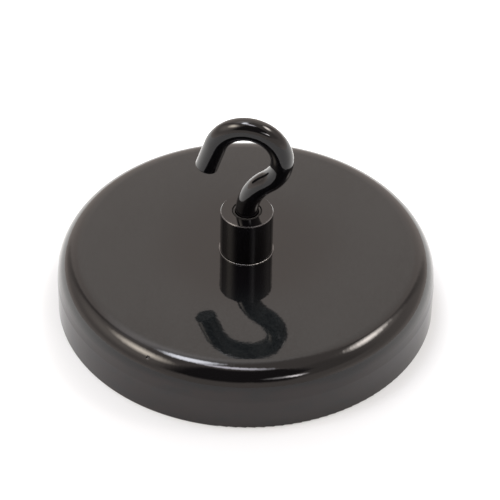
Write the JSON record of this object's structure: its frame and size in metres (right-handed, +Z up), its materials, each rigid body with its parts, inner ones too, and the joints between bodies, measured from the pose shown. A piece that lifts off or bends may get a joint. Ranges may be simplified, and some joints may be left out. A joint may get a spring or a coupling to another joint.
{
  "type": "pot magnet",
  "caption": "Round pot magnet with a flat pulling face, a threaded boss and a screw-in open wire hook for a rope.",
  "frame": {"origin": "centre of the pulling face, in the plane of the cup's rim", "axes": "+Z up through the boss and the hook's eye, -Z out of the pulling face; the hook's wire lies in the XZ plane with its tip on the -X side"},
  "size_m": [0.09, 0.09, 0.0542],
  "materials": {
    "pot_lacquer": "deep gloss black lacquer over drawn steel",
    "boss_lacquer": "gloss black, worn turned edges",
    "hook_lacquer": "gloss black wire",
    "washer_steel": "dark plated steel",
    "magnet_nickel": "bright nickel plating",
    "resin": "black cast epoxy",
    "nylon": "black nylon",
    "bush_brass": "turned brass",
    "screw_steel": "zinc-plated steel",
    "seal_rubber": "black nitrile rubber"
  },
  "bodies": {
    "magnet": {"pot_shell": "pot_lacquer", "magnet_segment_1": "magnet_nickel", "magnet_segment_2": "magnet_nickel", "magnet_segment_3": "magnet_nickel", "magnet_segment_4": "magnet_nickel", "magnet_segment_5": "magnet_nickel", "magnet_segment_6": "magnet_nickel", "magnet_segment_7": "magnet_nickel", "magnet_segment_8": "magnet_nickel", "centring_ring": "nylon", "potting_resin": "resin", "centre_bush": "bush_brass", "centre_screw": "screw_steel", "boss_washer": "washer_steel", "boss": "boss_lacquer"},
    "seal": {"shank_seal": "seal_rubber"},
    "hook": {"hook": "hook_lacquer"}
  },
  "joints": [
    {"name": "hook_lift", "type": "slide", "parent": "magnet", "child": "seal", "axis": [0, 0, 1], "range_m": [0, 0.00601]},
    {"name": "hook_turn", "type": "hinge", "parent": "seal", "child": "hook", "pos_m": [0, 0, 0.0275], "axis": [0, 0, 1], "range_deg": [0, 2160]}
  ],
  "couplings": [
    {"joint": "hook_lift", "follows": "hook_turn", "m_per_rad": 0.00015915}
  ]
}
